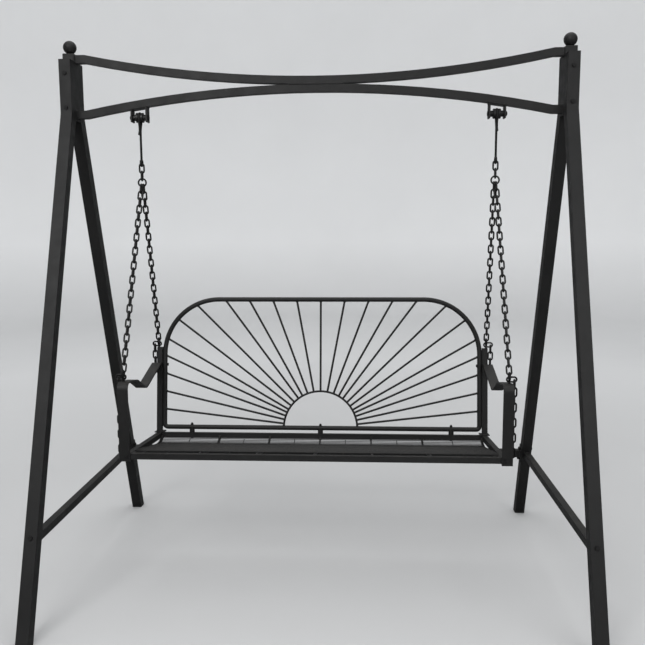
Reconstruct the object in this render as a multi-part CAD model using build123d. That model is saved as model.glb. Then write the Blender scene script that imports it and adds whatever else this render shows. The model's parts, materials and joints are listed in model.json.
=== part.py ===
from build123d import *
import os
from math import atan2, cos, degrees, radians, sin, sqrt, tan

# Free-standing A-frame porch swing: a bench with a rising-sun backrest hangs on
# chains from two arched tubes.  Millimetres.  +X runs to the right along the
# beams, +Y to the rear, +Z up.  The origin is on the floor, midway between the
# side frames and under the beams.

# ---------------------------------------------------------------- side frames
SIDE_X = 866.0          # centre plane of each side frame
LEG = 40.0              # square leg tube, outside
WALL = 2.0              # wall of every frame tube
LEG_OFFSET = 40.0       # leg axis to centre plane where the leg stands upright
LEG_TOP = 1847.0
BEND_Z = 1662.0         # height of the bend below the upright part
BEND_R = 100.0
FOOT_Y = 595.0          # leg axis at the floor
LEG_TILT = atan2(FOOT_Y - LEG_OFFSET, BEND_Z)
FOOT_CAP = 4.0          # thickness of the sole of a foot cap
PLUG_GAP = 0.1          # gap between a plug and the bore it fills
FOOT_PLUG = 24.0
LEG_CAP = 2.0           # plate of a leg top cap
LEG_PLUG = 12.0
FAR = 2000.0            # beyond every part of the swing, for cutting blocks
POST_TOP = 1871.0
POST_BOTTOM = 1645.0
CAP_PLATE = 5.0
BALL_R = 23.0
BALL_Z = 1899.0
NECK_R = 9.0
FINIAL_PLUG = 14.0
POST_BOLT_Z = (1686.0, 1802.0)

# ---------------------------------------------------------------------- beams
BEAM = 27.0             # square beam tube, outside
BEAM_R = 4100.0         # radius of both beam centre lines
BEAM_MID = 1762.65      # height where the two beams touch
ARC_END = 812.0         # the last stretch to the post is straight and level
BEAM_GAP = 0.1          # weld root gap between the beams at mid-span

# -------------------------------------------------- crossbars and stretcher
BAR_Z = 300.0           # height of crossbars and rear stretcher
CROSSBAR = 25.0
STRETCHER = 30.0
FLANGE_T = 4.0
FLANGE_L = 76.0
FLANGE_BOLT = 25.0      # bolt distance from the flange centre

# -------------------------------------------------------------------- fixings
M8_R = 4.0
M6_R = 3.0
HOLE_GAP = 0.2          # radial gap of a through hole
THREAD_GAP = 0.05       # radial gap in a threaded hole
WASHER_R = 7.0
HEX_8 = 13.0            # across flats
HEX_6 = 10.0
HEAD_8 = 5.3
HEAD_6 = 4.0
NUT_8 = 6.5
NUT_6 = 5.0
TAIL = 3.0              # thread showing past a nut

# -------------------------------------------------------------------- hangers
HANG_X = 624.0          # hanger distance from the middle
PIVOT_Z = 1656.0        # hanger bolt axis
LUG_T = 5.0
LUG_OUT = 29.0          # outer face of a lug from the hanger centre
LUG_DEEP = 36.0
LUG_BOTTOM = 1640.0
WEB_T = 3.0
PIN_R = 5.0             # hanger bolt radius
HEX_10 = 15.0
HEAD_10 = 3.5            # low head
NUT_10 = 5.0             # thin locknut
TAIL_10 = 1.5
ROLLER_R = 17.0
GROOVE_R = 11.0
ROLLER_W = 25.0
GROOVE_W = 9.0
SHOULDER_R = 10.5       # shoulders that keep the roller midway between the lugs
SHOULDER_GAP = 0.5      # end play at each lug
RUN_GAP = 0.1           # radial running gap of the roller on its bolt
HOOK_R = 4.0            # hook rod radius
HOOK_TIP_Z = 1598.0
HOOK_TIP_Y = -17.0       # the free end stands out a little in front
HOOK_WAIST_Y = -10.5
HOOK_WAIST_Z = 1609.0
HOOK_EYE_Z = 1499.0
HOOK_EYE_R = 10.0       # centre line of the closed eye

# --------------------------------------------------------------------- chains
WIRE = 6.0
LINK_W = 22.0           # outside width of a link
PITCH = 26.0
LINK_GAP = 0.3          # play where two links cross
LINK_LEN = PITCH + WIRE + LINK_GAP    # crown centre line to crown centre line
RING_R = 13.7           # centre line of the joining ring
SPREAD = 3.3            # half spacing of the two chains in the joining ring
RING_PLAY = 1.2         # clearance of a chain's first link on the ring
RING_LEAN = 0.3         # how far that link leans off the ring, against its line of pull
FRONT_LINKS = 26        # even, so the last link lies across the eye bolt
REAR_LINKS = 24
FRONT_TAIL_LINKS = 9
REAR_TAIL_LINKS = 2
EYE_R = 13.0            # centre line of an eye bolt's eye
EYE_ROD = 3.0           # rod radius of an eye bolt
EYE_RISE = 24.0         # eye centre above the face the bolt stands on
COLLAR_R = 6.0
COLLAR_T = 2.0
SPARE_SHIFT = 6.15       # the spare links sit behind the shank of the eye bolt
SPARE_DROP = 10.5       # first spare link below the eye centre
SPARE_PLAY = 1.0        # play between that link's end and the eye
TAIL_OUT = 1.1          # the hanging link's crown bears outward and
TAIL_SAG = 1.3          # downward of the middle of that link's bend

# ----------------------------------------------------------------- seat frame
SEAT_TILT = radians(5.4)          # the front of the seat is the high side
SEAT_Y = -30.0
SEAT_Z = 476.0
SEAT_BAR = 20.0
SEAT_HALF = 203.0                 # front and rear bar from the seat centre
RAIL_X = 637.0
RAIL_IN = RAIL_X - SEAT_BAR / 2
RAIL_REAR = 236.0
FOOT_BOLT = 21.0                  # foot plate bolt behind the upright
RIB_T = 6.0
RIB_H = 14.0
RIB_STEP = 197.5
RIB_TOP = ((170, 463), (132, 448), (100, 443), (50, 450),     # Y and Z from rear to front
           (-30, 467), (-120, 487), (-200, 501), (-230, 503))
DISH_STEPS = 24                   # points that carry a line set off from the rib top
MESH_R = 1.6                      # wires of the welded mesh on the ribs
MESH_LIFT = 0.05                  # weld root gap under the long wires
LONG_WIRES = 34
FIRST_WIRE = 0.08                 # share of the rib's length from its rear end
LAST_WIRE = 0.90
WIRE_END = 0.008                  # what the cross wires run on past the last long wire

# --------------------------------------------------------------------- back
BACK_TILT = radians(8.0)
BACK_R = 9.0                      # radius of the round back tube
BACK_WALL = 1.5
BACK_HALF = 617.0                 # side tube centre line
BACK_HIGH = 504.0                 # bottom to top centre line, along the slope
BACK_CORNER = 215.0
SPACER_H = 13.0
SPACER_R = 10.0
SPACER_X = 508.0
SUN_R = 144.0
ROD_R = 4.0
SIDE_RAY_STEP = 70.0
TOP_RAY_STEP = 93.0
CORNER_RAYS = (37.0, 44.5)        # degrees above the bottom bar

# --------------------------------------------------------- uprights and arms
UPRIGHT_TOP = 800.0
FOOT_PLATE = 4.0
FOOT_PLATE_HALF = 18.0            # half width of an upright's foot plate
FOOT_PLATE_LAP = 13.0             # what it runs forward of the rear bar's middle
FOOT_PLATE_BACK = 3.0             # margin to the end of the rail
BLOCK_H = 22.0                    # threaded block closing the upright
SIDE_BOLT_Z = 733.0
ARM_X = 645.0
ARM_W = 36.0
ARM_T = 6.0
ARM_FRONT_Y = -245.0
ARM_FRONT_Z = 753.0
ARM_DIP_Y = -20.0
ARM_DIP_Z = 686.0
ARM_HUMP_Y = -125.0
ARM_HUMP_Z = 737.0
ARM_BENDS = (10.0, 60.0, 80.0, 22.0)    # centre line radii from the tab to the front
ARM_REAR_Z = 742.0
ARM_FOOT_Z = 480.0
TAB_LEN = 42.0
TAB_BOLT = 26.0                   # tab bolt below the bend of the arm
EYE_WASHER = 1.6
FRONT_EYE_X = 650.0
FRONT_EYE_Y = -216.0
REAR_EYE_X = 642.0


def box(x0, x1, y0, y1, z0, z1):
    """Axis-aligned block between two corners."""
    at = Pos((x0 + x1) / 2, (y0 + y1) / 2, (z0 + z1) / 2)
    return at * Box(abs(x1 - x0), abs(y1 - y0), abs(z1 - z0))


def rod(a, b, radius):
    """Round bar between two points."""
    a, b = Vector(*a), Vector(*b)
    step = b - a
    return Plane(a, z_dir=step) * extrude(Circle(radius), step.length)


def hexagon(a, b, flats):
    """Hexagonal bar between two points."""
    a, b = Vector(*a), Vector(*b)
    step = b - a
    outline = RegularPolygon(flats / sqrt(3), 6)
    return Plane(a, z_dir=step) * extrude(outline, step.length)


def bolt(head_at, towards, length, radius, flats, head):
    """Hex bolt: the underside of the head is at head_at."""
    p = Vector(*head_at)
    u = Vector(*towards).normalized()
    shank = rod(p, p + u * length, radius)
    return shank + hexagon(p - u * head, p, flats)


def nut(face_at, towards, thick, radius, flats):
    """Hex nut sitting on the face at face_at, bored to clear its thread."""
    p = Vector(*face_at)
    u = Vector(*towards).normalized()
    body = hexagon(p, p + u * thick, flats)
    return body - rod(p - u, p + u * (thick + 1), radius + THREAD_GAP)


def rounded_path(points, radii):
    """Polyline with each inner corner rounded to its own radius."""
    pts = [Vector(*p) for p in points]
    edges = []
    start = pts[0]
    for before, corner, after, radius in zip(pts, pts[1:], pts[2:], radii):
        u = (before - corner).normalized()
        w = (after - corner).normalized()
        half = radians(u.get_angle(w)) / 2
        cut = radius / tan(half)
        bisector = (u + w).normalized()
        middle = corner + bisector * (radius / sin(half) - radius)
        edges.append(Line(start, corner + u * cut))
        edges.append(ThreePointArc(corner + u * cut, middle, corner + w * cut))
        start = corner + w * cut
    edges.append(Line(start, pts[-1]))
    return Wire([e.edge() for e in edges])


def square_tube(path, size, wall, x_dir=(1, 0, 0)):
    """Square tube swept along a path; returns the tube and its solid outline."""
    plane = Plane(path @ 0, x_dir=x_dir, z_dir=path % 0)
    outer = sweep(plane * Rectangle(size, size), path)
    bore = sweep(plane * Rectangle(size - 2 * wall, size - 2 * wall), path)
    return outer - bore, outer


def group(shapes, label):
    """Compound of separate solids under one name."""
    solids = [s for shape in shapes for s in shape.solids()]
    return Compound(label=label, children=solids)


# ================================================================ side frames
def leg_y(z):
    """Distance of a leg axis from the centre plane at a height."""
    return LEG_OFFSET + (BEND_Z - z) * tan(LEG_TILT)


def leg_path(side, front):
    """Leg axis from its upright top, round the bend and on past the floor."""
    x = side * SIDE_X
    below = -60.0
    points = [(x, front * LEG_OFFSET, LEG_TOP), (x, front * LEG_OFFSET, BEND_Z),
              (x, front * leg_y(below), below)]
    return rounded_path(points, [BEND_R])


def leg_across(front):
    """Unit vector across a leg, pointing away from the middle of the frame."""
    return Vector(0, front * cos(LEG_TILT), sin(LEG_TILT))


def crossbar_joint(side, front):
    """Point on the leg axis where a crossbar meets it."""
    return Vector(side * SIDE_X, front * leg_y(BAR_Z), BAR_Z)


def crossbar_bolt_at(side, front):
    """Point on the leg axis whose cross line runs through the middle of the crossbar."""
    rise = (LEG / 2 + FLANGE_T + NUT_8 / 2) * tan(LEG_TILT)
    return crossbar_joint(side, front) - leg_down(front) * rise


def leg_down(front):
    """Unit vector down along a sloping leg."""
    return Vector(0, front * sin(LEG_TILT), -cos(LEG_TILT))


def leg(side, front):
    tube, outline = square_tube(leg_path(side, front), LEG, WALL)
    tube -= box(-FAR, FAR, -FAR, FAR, -200, FOOT_CAP)
    for z in POST_BOLT_Z:
        hole = M8_R + HOLE_GAP
        tube -= rod((side * SIDE_X, front * 15, z), (side * SIDE_X, front * 70, z), hole)
    joint, across = crossbar_joint(side, front), leg_across(front)
    bolt_at = crossbar_bolt_at(side, front)
    tube -= rod(bolt_at - across * 30, bolt_at + across * 30, M8_R + HOLE_GAP)
    if front > 0:
        for s in (-FLANGE_BOLT, FLANGE_BOLT):
            p = joint + leg_down(front) * s
            tube -= rod(p - Vector(30, 0, 0), p + Vector(30, 0, 0), M8_R + HOLE_GAP)
    return tube


def foot_cap(side, front):
    """Sole under a leg with a plug that fills the tube end."""
    path = leg_path(side, front)
    plane = Plane(path @ 0, x_dir=(1, 0, 0), z_dir=path % 0)
    bore = LEG - 2 * (WALL + PLUG_GAP)
    sole = sweep(plane * Rectangle(LEG, LEG), path)
    sole &= box(-FAR, FAR, -FAR, FAR, 0, FOOT_CAP)
    plug = sweep(plane * Rectangle(bore, bore), path)
    plug &= box(-FAR, FAR, -FAR, FAR, FOOT_CAP, FOOT_CAP + FOOT_PLUG)
    return sole + plug


def leg_top_cap(side, front):
    x, y, half = side * SIDE_X, front * LEG_OFFSET, LEG / 2
    inner = half - WALL - PLUG_GAP
    plate = box(x - half, x + half, y - half, y + half, LEG_TOP, LEG_TOP + LEG_CAP)
    return plate + box(x - inner, x + inner, y - inner, y + inner, LEG_TOP - LEG_PLUG, LEG_TOP)


def post(side):
    """Upright end of the beam frame, clamped between the two legs."""
    x, half = side * SIDE_X, LEG / 2
    inner = half - WALL
    tube = box(x - half, x + half, -half, half, POST_BOTTOM, POST_TOP)
    tube -= box(x - inner, x + inner, -inner, inner, POST_BOTTOM - 1, POST_TOP + 1)
    for z in POST_BOLT_Z:
        tube -= rod((x, -30, z), (x, 30, z), M8_R + HOLE_GAP)
    return tube


def finial(side):
    """Cap plate, neck and ball in one casting, plugged into the post."""
    x, half = side * SIDE_X, LEG / 2
    inner = half - WALL - PLUG_GAP
    top = POST_TOP + CAP_PLATE
    plate = box(x - half, x + half, -half, half, POST_TOP, top)
    plate = chamfer(plate.faces().sort_by(Axis.Z)[-1].edges(), 2.0)
    neck = rod((x, 0, top - 1), (x, 0, BALL_Z), NECK_R)
    plug = box(x - inner, x + inner, -inner, inner, POST_TOP - FINIAL_PLUG, POST_TOP)
    return plate + neck + plug + Pos(x, 0, BALL_Z) * Sphere(BALL_R)


# ====================================================================== beams
def beam_profile(direction, half):
    """Side view of an arched beam, half being half its depth of section.

    direction +1 is the upper beam whose ends rise, -1 the lower beam."""
    mid = BEAM_MID + direction * (BEAM + BEAM_GAP) / 2
    centre = mid + direction * BEAM_R
    rise = BEAM_R - sqrt(BEAM_R ** 2 - ARC_END ** 2)
    end_z = mid + direction * rise
    end_half = half * BEAM_R / sqrt(BEAM_R ** 2 - ARC_END ** 2)
    outer = BEAM_R + half
    ring = Pos(0, centre) * (Circle(outer) - Circle(BEAM_R - half))
    window = Pos(0, mid + direction * rise / 2) * Rectangle(2 * ARC_END, 300)
    run = SIDE_X - LEG / 2 - ARC_END
    ends = [Pos(s * (ARC_END + run / 2), end_z) * Rectangle(run, 2 * end_half) for s in (-1, 1)]
    return (ring & window) + ends[0] + ends[1]


def beam(direction):
    outer = beam_profile(direction, BEAM / 2)
    bore = beam_profile(direction, BEAM / 2 - WALL)
    solid = extrude(Plane.XZ * outer, BEAM / 2, both=True)
    return solid - extrude(Plane.XZ * bore, BEAM / 2 - WALL, both=True)


def beam_underside(x):
    """Height of the lower beam's underside at a distance from the middle."""
    centre = BEAM_MID - (BEAM + BEAM_GAP) / 2 - BEAM_R
    return centre + sqrt((BEAM_R - BEAM / 2) ** 2 - x ** 2)


# ================================================== crossbars and stretcher
def leg_outline(side, front):
    return square_tube(leg_path(side, front), LEG, WALL)[1]


def crossbar(side):
    """Level tube between the front and rear leg, closed by plates that take the bolts."""
    x, half = side * SIDE_X, CROSSBAR / 2
    bore, reach = half - WALL, leg_y(BAR_Z)
    tube = box(x - half, x + half, -reach, reach, BAR_Z - half, BAR_Z + half)
    hollow = box(x - bore, x + bore, -reach, reach, BAR_Z - bore, BAR_Z + bore)
    for front in (-1, 1):
        plate_at = crossbar_joint(side, front) - leg_across(front) * (LEG / 2 + FLANGE_T)
        keep = Plane(plate_at, x_dir=(1, 0, 0), z_dir=leg_across(front))
        hollow -= keep * extrude(Rectangle(200, 200), 100)
        tube -= leg_outline(side, front)
    tube -= hollow
    for front in (-1, 1):
        bolt_at, across = crossbar_bolt_at(side, front), leg_across(front)
        tube -= rod(bolt_at, bolt_at - across * 30, M8_R + HOLE_GAP)
    return tube


def crossbar_bolt(side, front):
    across = leg_across(front)
    head = crossbar_bolt_at(side, front) + across * LEG / 2
    return bolt(head, across * -1, LEG + FLANGE_T + NUT_8 + TAIL, M8_R, HEX_8, HEAD_8)


def crossbar_nut(side, front):
    across = leg_across(front)
    face = crossbar_bolt_at(side, front) - across * (LEG / 2 + FLANGE_T)
    return nut(face, across * -1, NUT_8, M8_R, HEX_8)


def stretcher_flange(side):
    """Plate on the inner face of a rear leg, lined up with the leg."""
    joint = crossbar_joint(side, 1) - Vector(side * (LEG / 2), 0, 0)
    plane = Plane(joint, x_dir=leg_down(1), z_dir=(-side, 0, 0))
    plate = plane * extrude(RectangleRounded(FLANGE_L, LEG, 5), FLANGE_T)
    for s in (-FLANGE_BOLT, FLANGE_BOLT):
        p = joint + leg_down(1) * s
        plate -= rod(p - Vector(10, 0, 0), p + Vector(10, 0, 0), M8_R + HOLE_GAP)
    return plate


def rear_stretcher():
    reach = SIDE_X - LEG / 2 - FLANGE_T
    half, y = STRETCHER / 2, leg_y(BAR_Z)
    bore = half - WALL
    tube = box(-reach, reach, y - half, y + half, BAR_Z - half, BAR_Z + half)
    tube -= box(-reach, reach, y - bore, y + bore, BAR_Z - bore, BAR_Z + bore)
    return tube + stretcher_flange(-1) + stretcher_flange(1)


def stretcher_bolt(side, s):
    head = crossbar_joint(side, 1) + leg_down(1) * s + Vector(side * LEG / 2, 0, 0)
    length = LEG + FLANGE_T + NUT_8 + TAIL
    return bolt(head, (-side, 0, 0), length, M8_R, HEX_8, HEAD_8)


def stretcher_nut(side, s):
    face = crossbar_joint(side, 1) + leg_down(1) * s - Vector(side * (LEG / 2 + FLANGE_T), 0, 0)
    return nut(face, (-side, 0, 0), NUT_8, M8_R, HEX_8)


def post_bolt(side, z):
    depth = 2 * LEG_OFFSET + LEG
    head = (side * SIDE_X, -depth / 2, z)
    return bolt(head, (0, 1, 0), depth + NUT_8 + TAIL, M8_R, HEX_8, HEAD_8)


def post_nut(side, z):
    return nut((side * SIDE_X, LEG_OFFSET + LEG / 2, z), (0, 1, 0), NUT_8, M8_R, HEX_8)


# ==================================================================== hangers
def hanger_bracket(side):
    """U-shaped bracket with a thin web welded under the lower beam."""
    x, half = side * HANG_X, LUG_DEEP / 2
    inner = LUG_OUT - LUG_T
    top = beam_underside(HANG_X) + 12
    block = box(x - LUG_OUT, x + LUG_OUT, -half, half, LUG_BOTTOM, top)
    centre = BEAM_MID - (BEAM + BEAM_GAP) / 2 - BEAM_R
    under = Plane.XZ * Pos(0, centre) * Circle(BEAM_R - BEAM / 2)
    below_web = Plane.XZ * Pos(0, centre) * Circle(BEAM_R - BEAM / 2 - WEB_T)
    block &= extrude(under, 100, both=True)
    gap = box(x - inner, x + inner, -half, half, LUG_BOTTOM, top)
    block -= gap & extrude(below_web, 100, both=True)
    return block - rod((x - 40, 0, PIVOT_Z), (x + 40, 0, PIVOT_Z), PIN_R + HOLE_GAP)


def hanger_bolt(side):
    head = (side * (HANG_X - LUG_OUT), 0, PIVOT_Z)
    length = 2 * LUG_OUT + NUT_10 + TAIL_10
    return bolt(head, (side, 0, 0), length, PIN_R, HEX_10, HEAD_10)


def hanger_nut(side):
    face = (side * (HANG_X + LUG_OUT), 0, PIVOT_Z)
    return nut(face, (side, 0, 0), NUT_10, PIN_R, HEX_10)


def roller(side):
    """Grooved roller with two long shoulders; it turns on the hanger bolt with the hook."""
    x = side * HANG_X
    half, groove = ROLLER_W / 2, GROOVE_W / 2
    reach = LUG_OUT - LUG_T - SHOULDER_GAP
    body = rod((x - half, 0, PIVOT_Z), (x + half, 0, PIVOT_Z), ROLLER_R)
    body += rod((x - reach, 0, PIVOT_Z), (x + reach, 0, PIVOT_Z), SHOULDER_R)
    ring = rod((x - groove, 0, PIVOT_Z), (x + groove, 0, PIVOT_Z), ROLLER_R + 1)
    ring -= rod((x - groove, 0, PIVOT_Z), (x + groove, 0, PIVOT_Z), GROOVE_R)
    return body - ring - rod((x - 30, 0, PIVOT_Z), (x + 30, 0, PIVOT_Z), PIN_R + RUN_GAP)


def hook(side):
    """Rod hook: a bend over the roller, a long shank and a closed eye."""
    x = side * HANG_X
    bend = GROOVE_R + HOOK_R + RUN_GAP
    tip = Vector(x, HOOK_TIP_Y, HOOK_TIP_Z)
    waist = Vector(x, HOOK_WAIST_Y, HOOK_WAIST_Z)
    front = Vector(x, -bend, PIVOT_Z)
    rear = Vector(x, bend, PIVOT_Z)
    crown = Vector(x, 0, PIVOT_Z + bend)
    neck = Vector(x, 0, HOOK_TIP_Z + 2)
    foot = Vector(x, 0, HOOK_EYE_Z + HOOK_EYE_R)
    tail = Spline([tip, waist, front], tangents=[(0, 0.6, 0.8), (0, 0, 1)])
    over = ThreePointArc(front, crown, rear)
    draw = Spline([rear, neck], tangents=[(0, 0, -1), (0, 0, -1)])
    shank = Line(neck, foot)
    path = Wire([e.edge() for e in (tail, over, draw, shank)])
    body = sweep(Plane(path @ 0, z_dir=path % 0) * Circle(HOOK_R), path)
    eye = Plane((x, 0, HOOK_EYE_Z), z_dir=(1, 0, 0)) * Torus(HOOK_EYE_R, HOOK_R)
    return body + Pos(*tip) * Sphere(HOOK_R) + eye


# ===================================================================== chains
def make_link():
    """Oval welded link, long axis on Z, wide axis on X."""
    bend = (LINK_W - WIRE) / 2
    straight = LINK_LEN / 2 - bend
    crown = Torus(bend, WIRE / 2, major_angle=180, align=None)
    link = Pos(0, 0, straight) * Rot(90, 0, 0) * crown
    link += Pos(0, 0, -straight) * Rot(-90, 0, 0) * crown
    for x in (-bend, bend):
        link += Pos(x, 0, 0) * Cylinder(WIRE / 2, 2 * straight)
    return link


LINK = make_link()


def link_at(centre, along, wide):
    """Copy of the link with its long and wide axes in the given directions."""
    plane = Plane(Vector(*centre), x_dir=Vector(*wide), z_dir=Vector(*along))
    return plane.location * LINK


def chain_run(start, end, count):
    """Taut links between two crossing points, the first with its width in the YZ plane."""
    start, end = Vector(*start), Vector(*end)
    step = (end - start) * (1 / count)
    across = Vector(1, 0, 0)
    sideways = step.cross(across).normalized()
    links = []
    for i in range(count):
        wide = sideways if i % 2 == 0 else across
        links.append(link_at(start + step * (i + 0.5), step, wide))
    return links


HOOK_CROSSING = HOOK_EYE_Z - HOOK_EYE_R + HOOK_R     # where the first link bears on the hook
RING_CROSSING = HOOK_CROSSING - 2 * PITCH
RING_Z = RING_CROSSING - RING_R + (WIRE + LINK_GAP) / 2


def top_links(side):
    """The two links between the hook and the joining ring."""
    x = side * HANG_X
    first = link_at((x, 0, HOOK_CROSSING - PITCH / 2), (0, 0, 1), (1, 0, 0))
    second = link_at((x, 0, HOOK_CROSSING - PITCH * 1.5), (0, 0, 1), (0, 1, 0))
    return [first, second]


def joining_ring(side):
    plane = Plane((side * HANG_X, 0, RING_Z), z_dir=(0, 1, 0))
    return plane * Torus(RING_R, WIRE / 2)


def back_line_y(z):
    """Y of the back's centre line at a height."""
    return BACK_Y + (z - BACK_Z) * tan(BACK_TILT)


def eye_point(side, front):
    """Centre of the eye that takes a chain on the arm (-1) or the upright (+1)."""
    if front < 0:
        base = arm_top(FRONT_EYE_Y)
        return Vector(side * FRONT_EYE_X, FRONT_EYE_Y, base + EYE_RISE)
    return Vector(side * REAR_EYE_X, back_line_y(UPRIGHT_TOP), UPRIGHT_TOP + EYE_RISE)


def bearing_chain(side, front, count):
    """Taut chain from the joining ring to its eye bolt."""
    eye = eye_point(side, front)
    ring = Vector(side * (HANG_X - front * SPREAD), 0, RING_Z - sqrt(RING_R ** 2 - SPREAD ** 2))
    pull = (ring - eye).normalized()
    start = ring + Vector(pull.X, pull.Y * RING_LEAN, pull.Z) * (WIRE / 2 + RING_PLAY)
    pull = (start - eye).normalized()
    end = eye + pull * (EYE_R - EYE_ROD - LINK_GAP)
    return chain_run(start, end, count)


def spare_links(side, front):
    """The two spare links that lie out of the eye and over the edge."""
    eye, crown = eye_point(side, front), tail_crown(side, front)
    play = EYE_ROD + LINK_GAP + WIRE / 2 + SPARE_PLAY
    lying_x = eye.X + side * (LINK_LEN / 2 - play)
    lying = link_at((lying_x, crown.Y, eye.Z - SPARE_DROP), (1, 0, 0), (0, 0, 1))
    hanging = link_at((crown.X, crown.Y, crown.Z - LINK_LEN / 2), (0, 0, 1), (0, 1, 0))
    return [lying, hanging]


def tail_crown(side, front):
    """Top crown of the second spare link, resting in the first one."""
    eye = eye_point(side, front)
    bend = (LINK_W - WIRE) / 2
    outer_end = LINK_LEN - EYE_ROD - LINK_GAP - WIRE / 2 - SPARE_PLAY
    x = eye.X + side * (outer_end - bend + TAIL_OUT)
    return Vector(x, eye.Y + SPARE_SHIFT, eye.Z - SPARE_DROP - TAIL_SAG)


def tail_axis(side, front):
    """Point the hanging tail turns about: the top crown of its first link."""
    crown = tail_crown(side, front)
    return Vector(crown.X, crown.Y, crown.Z - LINK_LEN + WIRE + LINK_GAP)


def chain_tail(side, front, count):
    """Loose end of a chain, hanging straight down."""
    top = tail_axis(side, front)
    links = []
    for i in range(count):
        wide = (1, 0, 0) if i % 2 == 0 else (0, 1, 0)
        z = top.Z - LINK_LEN / 2 - i * PITCH
        links.append(link_at((top.X, top.Y, z), (0, 0, 1), wide))
    return links


def eye_bolt(side, front):
    """Eye bolt with a collar; the eye stands in the YZ plane."""
    eye = eye_point(side, front)
    base = eye.Z - EYE_RISE
    ring = Plane(eye, z_dir=(1, 0, 0)) * Torus(EYE_R, EYE_ROD)
    reach = ARM_T + NUT_6 + TAIL if front < 0 else BLOCK_H - 2
    shank = rod((eye.X, eye.Y, base - reach), (eye.X, eye.Y, eye.Z - EYE_R), EYE_ROD - THREAD_GAP)
    collar = rod((eye.X, eye.Y, base), (eye.X, eye.Y, base + COLLAR_T), COLLAR_R)
    return ring + shank + collar


# ================================================================= seat frame
SEAT_PLANE = Plane((0, SEAT_Y, SEAT_Z), x_dir=(1, 0, 0),
                   z_dir=(0, sin(SEAT_TILT), cos(SEAT_TILT)))
SEAT_NORMAL = Vector(0, sin(SEAT_TILT), cos(SEAT_TILT))


def seat_point(x, y, z):
    """Point given in the tilted seat plane."""
    return SEAT_PLANE.from_local_coords(Vector(x, y, z))


def seat_box(x0, x1, y0, y1, z0, z1):
    return SEAT_PLANE.location * box(x0, x1, y0, y1, z0, z1)


def back_foot():
    """Centre of the back's bottom tube, square above the rear seat bar."""
    return seat_point(0, SEAT_HALF, SEAT_BAR / 2 + SPACER_H + BACK_R)


BACK_Y = back_foot().Y
BACK_Z = back_foot().Z
BACK_PLANE = Plane((0, BACK_Y, BACK_Z), x_dir=(1, 0, 0),
                   z_dir=(0, -cos(BACK_TILT), sin(BACK_TILT)))


def seat_bar(y):
    """Front or rear bar of the seat between the side rails."""
    half = SEAT_BAR / 2
    bore = half - WALL
    tube = seat_box(-RAIL_IN, RAIL_IN, y - half, y + half, -half, half)
    tube -= seat_box(-RAIL_IN, RAIL_IN, y - bore, y + bore, -bore, bore)
    if y > 0:
        for x in (-SPACER_X, 0, SPACER_X):
            a, b = seat_point(x, y, -20), seat_point(x, y, 20)
            tube -= rod(a, b, M6_R + HOLE_GAP)
    return tube


def rail_front_y():
    return ARM_FRONT_Y + ARM_T / 2


def seat_rail(side):
    """Side rail; its front end is closed by a threaded block behind the arm."""
    x, half = side * RAIL_X, SEAT_BAR / 2
    bore = half - WALL
    tube = seat_box(x - half, x + half, -300, RAIL_REAR, -half, half)
    cavity = seat_box(x - bore, x + bore, -300, RAIL_REAR, -bore, bore)
    cavity -= box(-FAR, FAR, -FAR, rail_front_y() + BLOCK_H, 0, FAR)
    tube -= cavity
    tube -= box(-FAR, FAR, -FAR, rail_front_y(), 0, FAR)
    z = arm_bolt_z()
    tube -= rod((x, -300, z), (x, rail_front_y() + BLOCK_H - 2, z), M6_R + THREAD_GAP)
    a = seat_point(x, SEAT_HALF + FOOT_BOLT, -20)
    return tube - rod(a, a + SEAT_NORMAL * 40, M6_R + HOLE_GAP)


def rail_plug(side):
    x, half = side * RAIL_X, SEAT_BAR / 2
    bore = half - WALL - PLUG_GAP
    plate = seat_box(x - half, x + half, RAIL_REAR, RAIL_REAR + 2, -half, half)
    return plate + seat_box(x - bore, x + bore, RAIL_REAR - 8, RAIL_REAR, -bore, bore)


def rib_line(lift=0.0):
    """Top line of a seat rib, dished behind and rising to the front, or a line above it."""
    top = Spline([(0, y, z) for y, z in RIB_TOP])
    points = []
    for k in range(DISH_STEPS + 1):
        at, along = top @ (k / DISH_STEPS), top % (k / DISH_STEPS)
        points.append(at + Vector(0, along.Z, -along.Y) * lift)
    return Spline(points).edge()


def rib(x):
    """Bar on edge that follows the dished line between the front and rear bar."""
    path = Wire([rib_line(-RIB_H / 2)]).moved(Location((x, 0, 0)))
    section = Plane(path @ 0, x_dir=(1, 0, 0), z_dir=path % 0) * Rectangle(RIB_T, RIB_H)
    bar = sweep(section, path)
    face = SEAT_HALF - SEAT_BAR / 2
    bar -= seat_box(-FAR, FAR, face, FAR, -FAR, FAR)
    return bar - seat_box(-FAR, FAR, -FAR, -face, -FAR, FAR)


def long_wires():
    """Straight wires of the seat mesh from rail to rail, lying on the ribs."""
    line = rib_line(MESH_R + MESH_LIFT)
    step = (LAST_WIRE - FIRST_WIRE) / (LONG_WIRES - 1)
    spots = [line @ (FIRST_WIRE + step * i) for i in range(LONG_WIRES)]
    return [rod((-RAIL_IN, p.Y, p.Z), (RAIL_IN, p.Y, p.Z), MESH_R) for p in spots]


def cross_wire(x):
    """Dished wire of the seat mesh, welded under the long wires."""
    line = rib_line(-MESH_R).trim(FIRST_WIRE - WIRE_END, LAST_WIRE + WIRE_END)
    path = Wire([line]).moved(Location((x, 0, 0)))
    return sweep(Plane(path @ 0, z_dir=path % 0) * Circle(MESH_R), path)


def cross_wires():
    """One midway between each pair of ribs."""
    ribs = rib_positions()
    return [cross_wire((a + b) / 2) for a, b in zip(ribs, ribs[1:])]


def rib_positions():
    inner = [RIB_STEP * k for k in (-2, -1, 0, 1, 2)]
    edge = RAIL_IN - RIB_T / 2
    return [-edge] + inner + [edge]


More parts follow.
